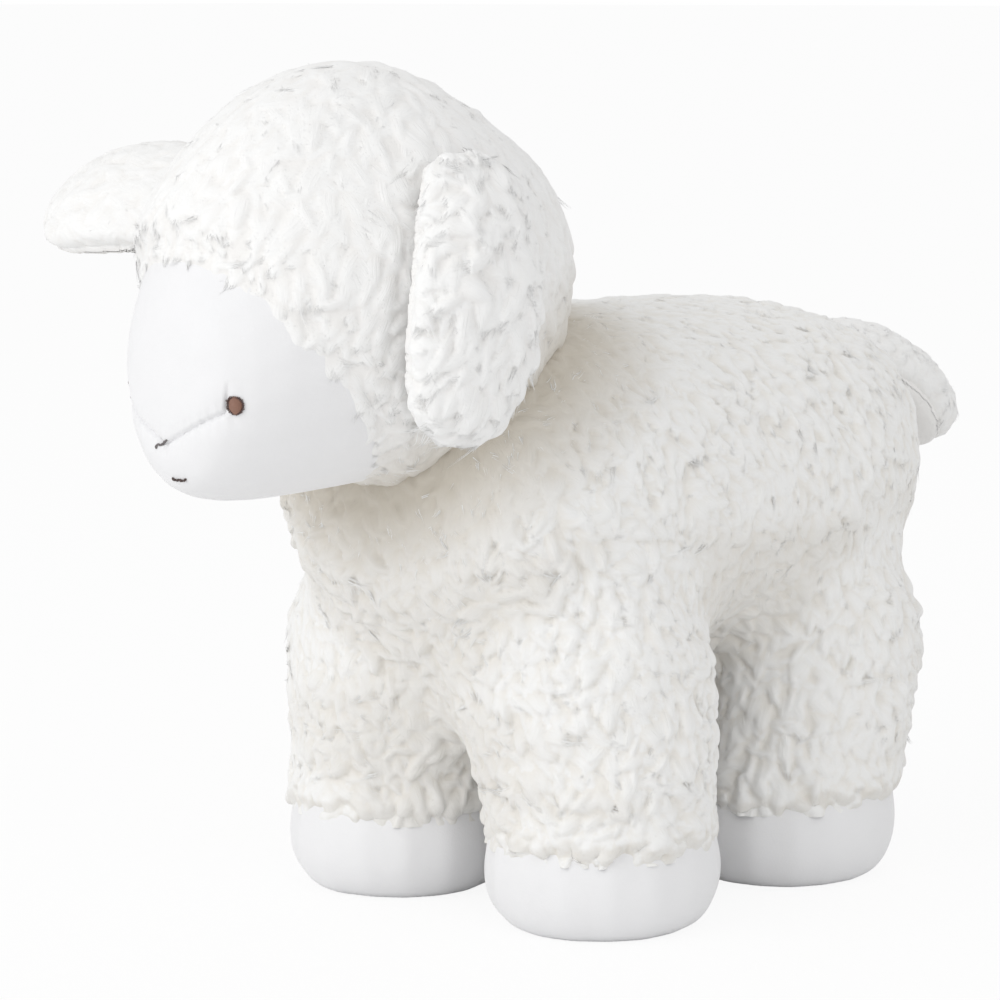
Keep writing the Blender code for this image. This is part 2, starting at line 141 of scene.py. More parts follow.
# Which way the wool lies, and where it is low, short or bare
flow_scale = 20 * MM
flow_stray = 1.2
hang_ramp = 30 * MM
hood_flow_scale = 22 * MM
hood_flow_stray = 1.1
patch_scale = 38 * MM
patch_range = (0.35, 1.3)
back_calm = 0.45
crown_calm = 0.5
crown_calm_drop = 75 * MM
crown_calm_ramp = 60 * MM
face_growth = 0.6
face_growth_reach = 16 * MM
bare_depth = -1 * MM
hair_clearance = 8 * MM

# Painted shade in the hollows, in a warm darker colour: neck, belly and inner sides of the legs
neck_shade_reach = 32 * MM
neck_painted_shade = 1.35
hood_painted_shade = 0.8
belly_gain = 1.3
belly_painted_shade = 0.3
belly_ramp = 20 * MM
inner_leg_painted_shade = 0.25
inner_leg_rise = 10 * MM
inner_leg_ramp = 15 * MM

# Ears and tail
ear_slide = 4 * MM
ear_wrap = 3.5 * MM
tail_wrap = 1.5 * MM
tail_grow = 3.2 * MM
rim_reach = 3.2 * MM
flap_flow_spread = 0.3
flap_flow_stray = 0.6

# Face and feet
seam_depth = 1.4 * MM
seam_width = 0.7 * MM
dip_depth = 0.7 * MM
dip_width = 3 * MM
gather_length = 3.4 * MM
gather_depth = 0.16 * MM
gather_width = 3.5 * MM
seam_fade = 8 * MM
nose_fade = 5 * MM
nose_margin = 6 * MM
foot_tuck = 5 * MM
floor_gap = 0.15 * MM
sole_depth = 2 * MM

# Embroidery. Stray ends, and places right and up from their node's middle, are in millimetres
stitch_points = 9
stitch_end_sink = 0.25
eye_radius = 2.8 * MM
eye_lift = 0.75 * MM
eye_row_step = 1.5
eye_row_stray = (-0.15, 0.1)
eye_edge_stitches = 30
eye_edge_inset = 0.55 * MM
eye_edge_lift = 0.85 * MM
eye_edge_stray = (0.0, 0.4)
thread_radius = 0.26 * MM
edge_thread_radius = 0.85 * thread_radius
nose_radius = 0.38 * MM
nose_lift = 0.5 * MM
mouth_radius = 0.42 * MM
mouth_lift = 0.55 * MM
nose_places = ((-3.9, -4.0), (-3.3, -2.4), (-1.9, -2.8), (-0.6, -1.7), (1.6, -1.0))
mouth_places = ((1.2, 0.5), (2.8, -0.4), (4.4, 0.0), (6.0, -0.5), (7.8, 0.3))

# Camera, from the three feet that the photograph shows
camera_azimuth = math.radians(41.297)
camera_elevation = math.radians(7.81)
camera_distance = 1.3
camera_lens = 133.86
feet_centre = (Vector(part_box("foot_front_left")[0]) + Vector(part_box("foot_rear_right")[1])) / 2
camera_target = Vector((feet_centre.x - 43.3 * MM, feet_centre.y, 126.4 * MM))

# Light
floor_size = 60
floor_glow = 0.9
world_strength = 0.75
lamp_aim = Vector((0, 0, 130 * MM))
lamps = (
    ("key", (-0.35, -1.75, 1.0), 1.5, 12.0),
    ("fill", (1.6, -0.8, 1.2), 1.6, 3.5),
)


def link(item):
    bpy.context.scene.collection.objects.link(item)
    return item


def baked(item):
    """The object's mesh as its modifiers leave it, put back on the object without them."""
    bpy.context.view_layer.update()
    graph = bpy.context.evaluated_depsgraph_get()
    mesh = bpy.data.meshes.new_from_object(item.evaluated_get(graph), depsgraph=graph)
    item.modifiers.clear()
    item.data = mesh
    return item


def form_of(items):
    """A free form that holds copies of the objects' meshes."""
    form = bmesh.new()
    for item in items:
        form.from_mesh(item.data)
    return form


def object_of(name, form):
    """A new object with the form as its mesh."""
    mesh = bpy.data.meshes.new(name)
    form.to_mesh(mesh)
    form.free()
    return link(bpy.data.objects.new(name, mesh))


def add_remesh(item, voxel):
    remesh = item.modifiers.new("remesh", "REMESH")
    remesh.mode = "VOXEL"
    remesh.voxel_size = voxel
    remesh.use_smooth_shade = True


def add_smooth(item, rounds, factor=0.5):
    smooth = item.modifiers.new("smooth", "SMOOTH")
    smooth.factor = factor
    smooth.iterations = rounds
    return smooth


def soft_form(name, nodes, grow, voxel, rounds):
    """One smooth closed form over the nodes' outsides, grown outward by grow."""
    form = form_of(frame["nodes"][node] for node in nodes)
    bmesh.ops.remove_doubles(form, verts=form.verts, dist=0.001 * MM)
    item = object_of(name, form)
    add_remesh(item, voxel)
    add_smooth(item, rounds)
    offset = item.modifiers.new("grow", "DISPLACE")
    offset.mid_level = 0.0
    offset.strength = grow
    return baked(item)


def read(items, key, per=1, dtype=np.float64):
    """One property of all items, as an array of one value or of a row of values for each."""
    values = np.empty(len(items) * per, dtype=dtype)
    items.foreach_get(key, values)
    return values if per == 1 else values.reshape(-1, per)


def arrays_of(mesh):
    """Points, point normals and triangles of a mesh, as arrays."""
    mesh.calc_loop_triangles()
    triangles = read(mesh.loop_triangles, "vertices", 3, np.int64)
    return read(mesh.vertices, "co", 3), read(mesh.vertices, "normal", 3), triangles


def set_points(mesh, points):
    mesh.vertices.foreach_set("co", np.ascontiguousarray(points, dtype=np.float64).ravel())
    mesh.update()


def wobble(points, scale, seed):
    """Smooth noise from -1 to 1 at each point; scale is the size of its lumps."""
    shift = Vector((seed * 7.3, seed * 3.1, seed * 5.7))
    return np.array([noise.noise(Vector(point) / scale + shift) for point in points])


def unit(vectors):
    return vectors / np.maximum(np.linalg.norm(vectors, axis=1, keepdims=True), 1e-12)


def lumpy(item, seed, layers):
    """Pushes the surface in and out by layers of noise, each a height and a size."""
    points, normals, _ = arrays_of(item.data)
    for step, (height, scale) in enumerate(layers):
        points = points + normals * (height * wobble(points, scale, seed + step))[:, None]
    set_points(item.data, points)


def drift(points, scale, seed):
    """Smooth noise in each of the three directions at each point."""
    return np.stack([wobble(points, scale, seed + k) for k in range(3)], 1)


def tree_of(*items):
    form = form_of(items)
    tree = BVHTree.FromBMesh(form)
    form.free()
    return tree


def depth_in(tree, points):
    """Distance of each point from a closed surface, negative inside."""
    depths = []
    for point in points:
        spot, normal, _, distance = tree.find_nearest(Vector(point))
        inside = (Vector(point) - spot).dot(normal) < 0
        depths.append(-distance if inside else distance)
    return np.array(depths)


def gaps_to(trees, points):
    """For each point, its distance from each of the trees' surfaces."""
    return np.array([[tree.find_nearest(Vector(point))[3] for tree in trees] for point in points])


def scattered(item, spacing, rng):
    """Evenly scattered points on a mesh, about one to each square of the spacing, with their normals."""
    points, normals, corners = arrays_of(item.data)
    a, b, c = (points[corners[:, k]] for k in range(3))
    area = np.linalg.norm(np.cross(b - a, c - a), axis=1) / 2
    count = int(area.sum() / spacing ** 2 * 4)
    pick = rng.choice(len(corners), size=count, p=area / area.sum())
    u, v = rng.random(count), rng.random(count)
    flip = u + v > 1
    u[flip], v[flip] = 1 - u[flip], 1 - v[flip]
    shares = np.stack([1 - u - v, u, v], 1)[:, :, None]
    spots = (points[corners[pick]] * shares).sum(1)
    facing = unit((normals[corners[pick]] * shares).sum(1))
    cells = np.floor(spots / spacing).astype(np.int64)
    _, first = np.unique(cells, axis=0, return_index=True)
    return spots[first], facing[first]


def tube_faces(rings, sides):
    """Corners and corner counts of one closed tube's faces, and where each corner lies in the tube's
    share of the picture."""
    loops, sizes, marks = [], [], []
    for ring in range(rings - 1):
        for k in range(sides):
            low, after = ring * sides, (k + 1) % sides
            loops += [low + k, low + after, low + sides + after, low + sides + k]
            marks += [(k, ring), (k + 1, ring), (k + 1, ring + 1), (k, ring + 1)]
            sizes.append(4)
    last = (rings - 1) * sides
    for k in range(sides):
        loops += [last + k, last + (k + 1) % sides, rings * sides]
        marks += [(k, rings - 1), (k + 1, rings - 1), (k + 0.5, rings)]
        sizes.append(3)
    loops += list(range(sides))[::-1]
    marks += [(0.1 * k, 0) for k in range(sides)]
    sizes.append(sides)
    return np.array(loops), np.array(sizes), np.array(marks, dtype=float) / (sides, rings)


def tube_mesh(name, points, rings, sides):
    """A mesh of tubes from their points (tube, point, xyz), each tube in its own square of the picture."""
    total, per = points.shape[:2]
    loops, sizes, marks = tube_faces(rings, sides)
    mesh = bpy.data.meshes.new(name)
    mesh.vertices.add(total * per)
    mesh.vertices.foreach_set("co", points.ravel())
    index = (loops[None, :] + (np.arange(total) * per)[:, None]).ravel()
    mesh.loops.add(len(index))
    mesh.loops.foreach_set("vertex_index", index.astype(np.int32))
    sizes = np.tile(sizes, total)
    mesh.polygons.add(len(sizes))
    starts = np.concatenate([[0], np.cumsum(sizes)[:-1]])
    mesh.polygons.foreach_set("loop_start", starts.astype(np.int32))
    mesh.polygons.foreach_set("use_smooth", np.ones(len(sizes), dtype=bool))
    grid = math.ceil(math.sqrt(total))
    cell = np.stack([np.arange(total) % grid, np.arange(total) // grid], 1)[:, None, :] / grid
    layer = mesh.uv_layers.new(name="OFBake")
    layer.uv.foreach_set("vector", ((marks[None] * 0.8 + 0.1) / grid + cell).ravel().astype(np.float32))
    return mesh


def tube_sides(lines, side):
    """Directions across the tubes at each ring: sideways, along side where it is given, and upward."""
    along = np.gradient(lines, axis=1)
    along /= np.maximum(np.linalg.norm(along, axis=2, keepdims=True), 1e-12)
    along = along[:, :-1]
    if side is None:
        side = np.cross(along, np.array([0.31, 0.52, 0.79]))
    else:
        side = np.broadcast_to(side, along.shape)
        side = side - along * (side * along).sum(2, keepdims=True)
    side = side / np.maximum(np.linalg.norm(side, axis=2, keepdims=True), 1e-12)
    return side, np.cross(along, side)


def tubes(name, lines, wide, thick, places, rises, side=None, sides=3, facing=None):
    """Closed tapered tubes along lines (tube, ring, xyz), each ending in a point. They are wide along
    side and thick across it, and where facing is given they are shaded partly by it."""
    total, rings = lines.shape[0], lines.shape[1] - 1
    across, lift = tube_sides(lines, side)
    turns = np.arange(sides) * math.tau / sides
    cosine, sine = np.cos(turns)[:, None], np.sin(turns)[:, None]
    ring_points = lines[:, :rings, None, :] + (
        across[:, :, None, :] * cosine * wide[:, :rings, None, None]
        + lift[:, :, None, :] * sine * thick[:, :rings, None, None]
    )
    points = np.concatenate([ring_points.reshape(total, rings * sides, 3), lines[:, -1:, :]], axis=1)
    mesh = tube_mesh(name, points, rings, sides)
    if facing is not None:
        facing = facing / np.linalg.norm(facing, axis=2, keepdims=True)
        lock = np.repeat(facing[:, :rings], sides, axis=1)
        own = across[:, :, None, :] * cosine + lift[:, :, None, :] * sine
        own = own.reshape(total, rings * sides, 3)
        alike = (lock * own).sum(2, keepdims=True)
        shading = np.concatenate([own + lock * (1 + alike) * lock_shading, facing[:, -1:]], axis=1)
        set_attribute(mesh, "custom_normal", unit(shading.reshape(-1, 3)))
    places = np.concatenate([np.repeat(places[:, :rings], sides, axis=1), places[:, -1:]], axis=1)
    places[:, :-1, 0] += np.tile(cosine[:, 0], rings) * np.repeat(wide[:, :rings], sides, axis=1)
    # Painted shade on each strand's underside: its rise, which the fleece turns into colour, falls almost to
    # nothing beneath
    painted_underside_shade = np.tile(0.5 + 0.5 * sine[:, 0], rings)
    rises = np.concatenate([np.repeat(rises[:, :rings], sides, axis=1) * painted_underside_shade, rises[:, -1:]], axis=1)
    set_attribute(mesh, "tuft", places.reshape(-1, 3))
    set_attribute(mesh, "rise", rises.ravel())
    set_attribute(mesh, "warmth", np.zeros(rises.size))
    set_attribute(mesh, "inner", np.ones(rises.size))
    mesh.update()
    return link(bpy.data.objects.new(name, mesh))


def set_attribute(mesh, name, values):
    """Keeps one number or one vector for each point of the mesh."""
    flat = values.ndim == 1
    item = mesh.attributes.new(name, "FLOAT" if flat else "FLOAT_VECTOR", "POINT")
    item.data.foreach_set("value" if flat else "vector", values.ravel().astype(np.float32))


def tufts(points, normals, flow, style, rng, shorten=None):
    """Tufts of wool rooted at points and lying along flow: where each starts, points and how big it is."""
    count = len(points)
    along = unit(flow - normals * (flow * normals).sum(1, keepdims=True))
    across = np.cross(normals, along)
    turn = rng.normal(0, style["stray"], count)[:, None]
    along, across = along * np.cos(turn) + across * np.sin(turn), across * np.cos(turn) - along * np.sin(turn)
    scale = rng.uniform(0.6, 1.4, count)
    if shorten is not None:
        scale = scale * shorten
    return dict(
        root=points - along * (style["length"] * scale * 0.5)[:, None],
        normal=normals, along=along, across=across,
        length=style["length"] * scale,
        width=style["width"] * rng.uniform(0.65, 1.45, count) * np.sqrt(scale),
        height=style["height"] * rng.uniform(0.5, 1.4, count) * scale,
        bend=rng.normal(0, style["bend"], count),
        tone=rng.random(count),
    )


def subset(locks, chosen):
    return {key: value[chosen] for key, value in locks.items()}


def tuft_rise(u):
    """Height of a tuft from its root, u = 0, to its tip, u = 1, as a share of its full height."""
    u = np.clip(u, 0, 1)
    return 1.25 * u ** 0.8 * (1 - u ** 5)


def tuft_width(u):
    u = np.clip(u, 0, 1)
    return np.maximum(np.sin(math.pi * u ** 0.75), 0) ** 0.55


def inside_of_tufts(mesh, owner):
    """1 for points whose neighbours all belong to their own tuft, 0 along the border of a tuft."""
    ends = read(mesh.edges, "vertices", 2, np.int32)
    border = ends[owner[ends[:, 0]] != owner[ends[:, 1]]]
    inner = np.ones(len(owner))
    inner[border.ravel()] = 0
    return inner


def tufted(item, locks, warmth=None, limit=1.0):
    """Raises the surface into its tufts, times the limit. Each point keeps its place in its tuft, how high it
    lies between the tufts, which the fleece paints as shade where it is low, and its share of painted shade
    from the toy's hollows. Returns the number of the tuft that each point belongs to."""
    points, normals, _ = arrays_of(item.data)
    middle = locks["root"] + locks["along"] * locks["length"][:, None] * 0.55
    tree = KDTree(len(middle))
    for index, spot in enumerate(middle):
        tree.insert(spot, index)
    tree.balance()
    near = np.array([[found[1] for found in tree.find_n(point, tufts_blended)] for point in points])
    gap = points[:, None, :] - locks["root"][near]
    down = (gap * locks["along"][near]).sum(2)
    u = down / locks["length"][near]
    bow = locks["bend"][near] * locks["length"][near] * np.clip(u, 0, 1) ** 2
    off = (gap * locks["across"][near]).sum(2) - bow
    wide = np.maximum(tuft_width(u), 0.05)
    dome = np.sqrt(np.clip(1 - (off / (locks["width"][near] / 2) / wide) ** 2, 0, 1))
    high = locks["height"][near] * tuft_rise(u) * dome
    best = np.argmax(high, axis=1)
    rows = np.arange(len(points))
    rise = (high ** tuft_blend).sum(1) ** (1 / tuft_blend) * limit
    mine = near[rows, best]
    place = np.stack([off[rows, best], down[rows, best], locks["tone"][mine]], 1)
    set_attribute(item.data, "tuft", place)
    set_attribute(item.data, "inner", inside_of_tufts(item.data, mine))
    # How high each point lies between the tufts, which the fleece turns into painted shade where it is low
    set_attribute(item.data, "rise", np.clip(rise / locks["height"][mine], 0, 1.4) / 1.4)
    set_attribute(item.data, "warmth", np.zeros(len(points)) if warmth is None else warmth)
    set_points(item.data, points + normals * rise[:, None])
    add_smooth(item, 2)
    baked(item)
    _, normals, _ = arrays_of(item.data)
    set_attribute(item.data, "whole_normal", normals)
    return mine


def wool(name, locks, style, rng):
    """Fine strands that leave the tufts' tops near their tips, crimped and a little loose."""
    count, per, rings = len(locks["root"]), style["strands"], style["rings"]
    owner = np.repeat(np.arange(count), per)
    total = count * per
    place = np.tile((np.arange(per) + 0.5) / per * 2 - 1, count) + rng.normal(0, 0.15, total)
    place = np.clip(place, -1.0, 1.0)
    reach = style["reach"] * rng.uniform(0.8, 1, total)
    start = rng.uniform(*strand_start, total)
    phase = rng.uniform(0, math.tau, count)[owner] + rng.normal(0, 0.4, total)
    loose = style["loose"] * rng.random(total) ** 2
    t = np.linspace(0, 1, rings + 1)[None, :]
    u = start[:, None] + (reach - start)[:, None] * t
    length = locks["length"][owner][:, None]
    wave = math.tau * u * length / style["wave"] + phase[:, None]
    half = locks["width"][owner][:, None] / 2
    swing = place[:, None] * half * (tuft_width(np.clip(u, 0.02, 0.9)) * 0.9 + 0.1)
    swing = swing + locks["bend"][owner][:, None] * length * u ** 2
    swing = swing + style["crimp"] * np.sin(wave) * (0.4 + 0.6 * t)
    dome = np.sqrt(np.clip(1 - place ** 2 * 0.9, 0.05, 1))[:, None]
    rise = locks["height"][owner][:, None] * tuft_rise(np.clip(u, 0, 0.86)) * dome
    rise = rise + style["crimp"] * 0.5 * np.cos(wave) * t + loose[:, None] * t ** 2
    rise = rise + style["over"] - style["sink"] * (1 - t) ** 2 - (u * length) ** 2 / (2 * style["round"])
    along, across = locks["along"][owner][:, None, :], locks["across"][owner][:, None, :]
    normal = locks["normal"][owner][:, None, :]
    lines = (
        locks["root"][owner][:, None, :] + along * (u * length)[:, :, None]
        + across * swing[:, :, None] + normal * rise[:, :, None]
    )
    thick = style["radius"] * rng.uniform(0.7, 1.25, total)[:, None]
    radii = thick * (0.75 + 0.4 * np.sin(math.pi * t)) * (1 - t ** 3 * 0.85)
    tone = np.repeat(locks["tone"][owner][:, None], rings + 1, axis=1)
    places = np.stack([np.broadcast_to(place[:, None] * half, u.shape), u * length, tone], 2)
    facing = normal + across * (place[:, None] * 0.6)[:, :, None] + along * ((t - 0.55) * 0.8)[:, :, None]
    # The strands' rise, which the fleece paints as shade where it is low, grows from root to tip
    rises = np.broadcast_to(0.75 + 0.25 * t, u.shape) * 2
    wide, thick = radii * strand_breadth, radii * strand_thickness
    return tubes(name, lines, wide, thick, places, rises, side=across, facing=facing)


def style_of(**changes):
    """The sizes of tufts and strands on the torso and legs, with the changes for another piece."""
    base = dict(
        strands=6, rings=4, length=10 * MM, width=4.6 * MM, height=2.2 * MM, radius=0.13 * MM, bend=0.3,
        stray=0.55, crimp=0.3 * MM, wave=5 * MM, loose=1.3 * MM, over=0.05 * MM, sink=0.6 * MM, round=60 * MM,
        reach=1.2,
    )
    base.update(changes)
    return base


# Materials
def new_material(name):
    material = bpy.data.materials.new(name)
    material.use_nodes = True
    return material, material.node_tree.nodes, material.node_tree.links


def colour_mix(nodes, links, factor, first, second):
    mix = nodes.new("ShaderNodeMix")
    mix.data_type = "RGBA"
    links.new(factor, mix.inputs["Factor"])
    for socket, value in ((mix.inputs[6], first), (mix.inputs[7], second)):
        if isinstance(value, tuple):
            socket.default_value = (*value, 1.0)
        else:
            links.new(value, socket)
    return mix.outputs[2]


def set_inputs(node, values):
    for name, value in values.items():
        node.inputs[name].default_value = value


def add_bump(nodes, links, shader, height, distance):
    bump = nodes.new("ShaderNodeBump")
    bump.inputs["Distance"].default_value = distance
    links.new(height, bump.inputs["Height"])
    links.new(bump.outputs["Normal"], shader.inputs["Normal"])
    return bump


def math_node(nodes, links, operation, first, second):
    item = nodes.new("ShaderNodeMath")
    item.operation = operation
    for socket, value in zip(item.inputs, (first, second)):
        if isinstance(value, (int, float)):
            socket.default_value = value
        else:
            links.new(value, socket)
    return item.outputs[0]


def attribute_node(nodes, name):
    item = nodes.new("ShaderNodeAttribute")
    item.attribute_name = name
    return item


def noise_node(nodes, links, scale, detail):
    place = nodes.new("ShaderNodeTexCoord")
    item = nodes.new("ShaderNodeTexNoise")
    set_inputs(item, {"Scale": scale, "Detail": detail})
    links.new(place.outputs["Object"], item.inputs["Vector"])
    return item.outputs["Fac"]


def fleece_material(name, tip, hollow, painted_shade_colour):
    """Fleece: pale on the tufts, with painted shade between them and, in a warmer colour, in the hollows
    of the toy, with the streaks of the fibres along each tuft."""
    material, nodes, links = new_material(name)
    shader = nodes["Principled BSDF"]
    rise = attribute_node(nodes, "rise")
    warmth = attribute_node(nodes, "warmth")
    tuft = attribute_node(nodes, "tuft")
    inner = attribute_node(nodes, "inner")
    # Painted shade between the tufts: low points take the hollow colour, high ones the tip colour
    level = nodes.new("ShaderNodeMapRange")
    level.interpolation_type = "SMOOTHSTEP"
    set_inputs(level, {"From Min": 0.12, "From Max": 0.62})
    links.new(rise.outputs["Fac"], level.inputs["Value"])
    shade = colour_mix(nodes, links, level.outputs["Result"], hollow, tip)
    stretch = nodes.new("ShaderNodeVectorMath")
    stretch.operation = "MULTIPLY"
    stretch.inputs[1].default_value = streak_scale
    links.new(tuft.outputs["Vector"], stretch.inputs[0])
    streak = nodes.new("ShaderNodeTexNoise")
    set_inputs(streak, {"Scale": 1.0, "Detail": 3.0})
    links.new(stretch.outputs["Vector"], streak.inputs["Vector"])
    shade = colour_mix(nodes, links, warmth.outputs["Fac"], shade, painted_shade_colour)
    links.new(shade, shader.inputs["Base Color"])
    set_inputs(shader, {"Roughness": 0.9, "Sheen Weight": 0.2, "Sheen Roughness": 0.6})
    bump = add_bump(nodes, links, shader, streak.outputs["Fac"], streak_depth)
    links.new(math_node(nodes, links, "MULTIPLY", inner.outputs["Fac"], 0.75), bump.inputs["Strength"])
    return material


def fibre_material(name, colour, hollow):
    """The loose fibre of the filling."""
    material, nodes, links = new_material(name)
    shader = nodes["Principled BSDF"]
    clump = noise_node(nodes, links, 260.0, 4.0)
    links.new(colour_mix(nodes, links, clump, hollow, colour), shader.inputs["Base Color"])
    shader.inputs["Roughness"].default_value = 1.0
    return material


def pile_material(name, colour, brushed, depth):
    """Short smooth pile: fine fibre ends, with soft patches where it is brushed another way."""
    material, nodes, links = new_material(name)
    shader = nodes["Principled BSDF"]
    patch = noise_node(nodes, links, 38.0, 3.0)
    links.new(colour_mix(nodes, links, patch, colour, brushed), shader.inputs["Base Color"])
    set_inputs(shader, {"Roughness": 0.85, "Sheen Weight": 0.3, "Sheen Roughness": 0.5})
    fine = noise_node(nodes, links, 1500.0, 3.0)
    broad = noise_node(nodes, links, 260.0, 4.0)
    height = math_node(nodes, links, "ADD", fine, broad)
    add_bump(nodes, links, shader, height, depth).inputs["Strength"].default_value = 0.55
    return material


def thread_material(name, colour, dark):
    material, nodes, links = new_material(name)
    shader = nodes["Principled BSDF"]
    tint = noise_node(nodes, links, 900.0, 2.0)
    links.new(colour_mix(nodes, links, tint, dark, colour), shader.inputs["Base Color"])
    set_inputs(shader, {"Roughness": 0.55, "Sheen Weight": 0.2})
    return material


# The warm darker colour of painted shade in the neck, under the belly and between the legs
painted_wool_shade = (0.60, 0.555, 0.48)
# Tip colour, painted shade between the tufts, and painted shade in the toy's hollows
fleece = fleece_material("fleece", (0.88, 0.88, 0.872), (0.83, 0.81, 0.77), painted_wool_shade)
fleece_soft = fleece_material("fleece_soft", (0.89, 0.89, 0.885), (0.86, 0.85, 0.835), painted_wool_shade)
pile = pile_material("smooth_pile", (0.85, 0.85, 0.86), (0.82, 0.82, 0.83), 0.10 * MM)
lining_pile = pile_material("lining_pile", (0.84, 0.83, 0.82), (0.80, 0.79, 0.77), 0.14 * MM)
fibre = fibre_material("fibre_fill", (0.84, 0.86, 0.88), (0.74, 0.76, 0.80))
brown_thread = thread_material("eye_thread", (0.31, 0.165, 0.115), (0.23, 0.115, 0.08))
dark_thread = thread_material("eye_edge_thread", (0.10, 0.045, 0.035), (0.05, 0.025, 0.02))
grey_thread = thread_material("nose_thread", (0.20, 0.18, 0.18), (0.10, 0.09, 0.09))
mouth_brown = thread_material("mouth_thread", (0.075, 0.038, 0.03), (0.03, 0.018, 0.015))


def finish(item, material, body, nodes):
    """Gives a piece its one material, its body and the nodes that it stands in for."""
    item.data.materials.clear()
    item.data.materials.append(material)
    item.data.shade_smooth()
    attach(item, body)
    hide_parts(*nodes)


def shade_as_one(item):
    """Shades a part of a split surface with the normals that it had before the split."""
    whole = item.data.attributes["whole_normal"]
    normals = read(whole.data, "vector", 3)
    item.data.attributes.remove(whole)
    set_attribute(item.data, "custom_normal", normals)


def eased(share):
    share = np.clip(share, 0, 1)
    return share * share * (3 - 2 * share)


def lean_in(item):
    """Leads the inner half of a front leg inward and forward at the top, so that the wool fills the chest."""
    points, _, _ = arrays_of(item.data)
    low, high = points.min(axis=0), points.max(axis=0)
    middle, half = (low[0] + high[0]) / 2, (high[0] - low[0]) / 2
    side = math.copysign(1, middle - body_middle[0])
    share = eased((points[:, 2] - ankle_height) / lean_rise)
    share = share * eased(0.5 - side * (points[:, 0] - middle) / half)
    points[:, 0] -= side * lean_inward * share
    points[:, 1] -= lean_forward * share
    set_points(item.data, points)


rng = np.random.default_rng(7)

# Surfaces under the wool
body_form = soft_form("body_shape", ["body_stuffing"], body_grow, coarse_voxel, body_rounds)
leg_forms = {
    name: soft_form("leg_shape_" + name, ["leg_stuffing_" + name], leg_grow, coarse_voxel, leg_rounds)
    for name in LIMBS
}
for name in LIMBS[:2]:
    lean_in(leg_forms[name])
head_form = soft_form("head_cloth", ["head_stuffing"], head_grow, fine_voxel, head_rounds)
body_tree = tree_of(body_form)
head_tree = tree_of(head_form)
leg_trees = {name: tree_of(form) for name, form in leg_forms.items()}
foot_forms = {}
for name in LIMBS:
    nodes = ["foot_" + name, "sole_" + name, "leg_stuffing_" + name]
    foot_forms[name] = soft_form("foot_cloth_" + name, nodes, foot_grow, fine_voxel, foot_rounds)
foot_trees = {name: tree_of(form) for name, form in foot_forms.items()}


def fill_hollows(item, share):
    """Moves points towards the mean of their neighbours, outward and never inward."""
    points, normals, _ = arrays_of(item.data)
    count = len(points)
    ends = read(item.data.edges, "vertices", 2, np.int32)
    first, second = ends.T
    number = np.bincount(ends.ravel(), minlength=count)
    for turn in range(fill_rounds):
        sums = [
            np.bincount(first, points[second, k], count) + np.bincount(second, points[first, k], count)
            for k in range(3)
        ]
        step = np.stack(sums, 1) / number[:, None] - points
        hollow = (step * normals).sum(1) > 0
        points = points + step * (share * hollow)[:, None]
        if (turn + 1) % fill_rounds_per_normal == 0:
            set_points(item.data, points)
            _, normals, _ = arrays_of(item.data)


def merged_skin():
    """The cloth of the torso and the four legs as one surface, filled out where the legs are sewn in."""
    items = (body_form, *leg_forms.values())
    skin = object_of("skin", form_of(items))
    for item in items:
        bpy.data.objects.remove(item)
    add_remesh(skin, coarse_voxel)
    baked(skin)
    points, _, _ = arrays_of(skin.data)
    to_leg = np.abs(np.stack([depth_in(tree, points) for tree in leg_trees.values()], 1)).min(1)
    to_body = np.abs(depth_in(body_tree, points))
    apart = np.maximum(to_leg, to_body) / join_reach
    near = np.clip(smoothed_zone - apart, 0, 1)
    group = skin.vertex_groups.new(name="join")
    for index in np.nonzero(near > 0.01)[0]:
        group.add([int(index)], float(near[index]), "REPLACE")
    add_smooth(skin, join_rounds, join_share).vertex_group = "join"
    baked(skin)
    fill_hollows(skin, np.clip(filled_zone - apart, 0, 1) * join_share)
    add_remesh(skin, fine_voxel)
    add_smooth(skin, skin_rounds)
    baked(skin)
    lumpy(skin, 1, skin_lumps)
    tuck_hems(skin)
    return skin


def tuck_hems(skin):
    """Leads the ground of the wool into the feet, so that its tufts end in a ragged line on their cloth."""
    points, normals, _ = arrays_of(skin.data)
    low = np.nonzero(points[:, 2] < ankle_height + hem_reach)[0]
    gaps = np.stack([depth_in(tree, points[low]) for tree in foot_trees.values()], 1)
    gap = gaps[np.arange(len(low)), np.abs(gaps).argmin(1)]
    ragged = hem_ragged * wobble(points[low], hem_ragged_size, 71)
    ease = eased((points[low, 2] - ankle_height + hem_drop + ragged) / (hem_reach + hem_drop))
    wanted = np.maximum(gap, 0) * ease - edge_sink * (1 - ease)
    points[low] += normals[low] * (wanted - gap)[:, None]
    set_points(skin.data, points)


def cut_level(item, height, keep_above):
    """Opens a form at a level plane and keeps what lies above it, or what lies below."""
    form = form_of([item])
    bmesh.ops.bisect_plane(
        form, geom=[*form.verts, *form.edges, *form.faces], plane_co=(0, 0, height), plane_no=(0, 0, 1),
        clear_inner=keep_above, clear_outer=not keep_above,
    )
    form.to_mesh(item.data)
    form.free()


def flow_body(points, normals):
    """Down and back over the flanks, back along the top, down the chest."""
    flow = np.tile([0.0, 0.45, -0.9], (len(points), 1))
    flow[normals[:, 1] < -0.6] = (0.0, 0.1, -1.0)
    return flow


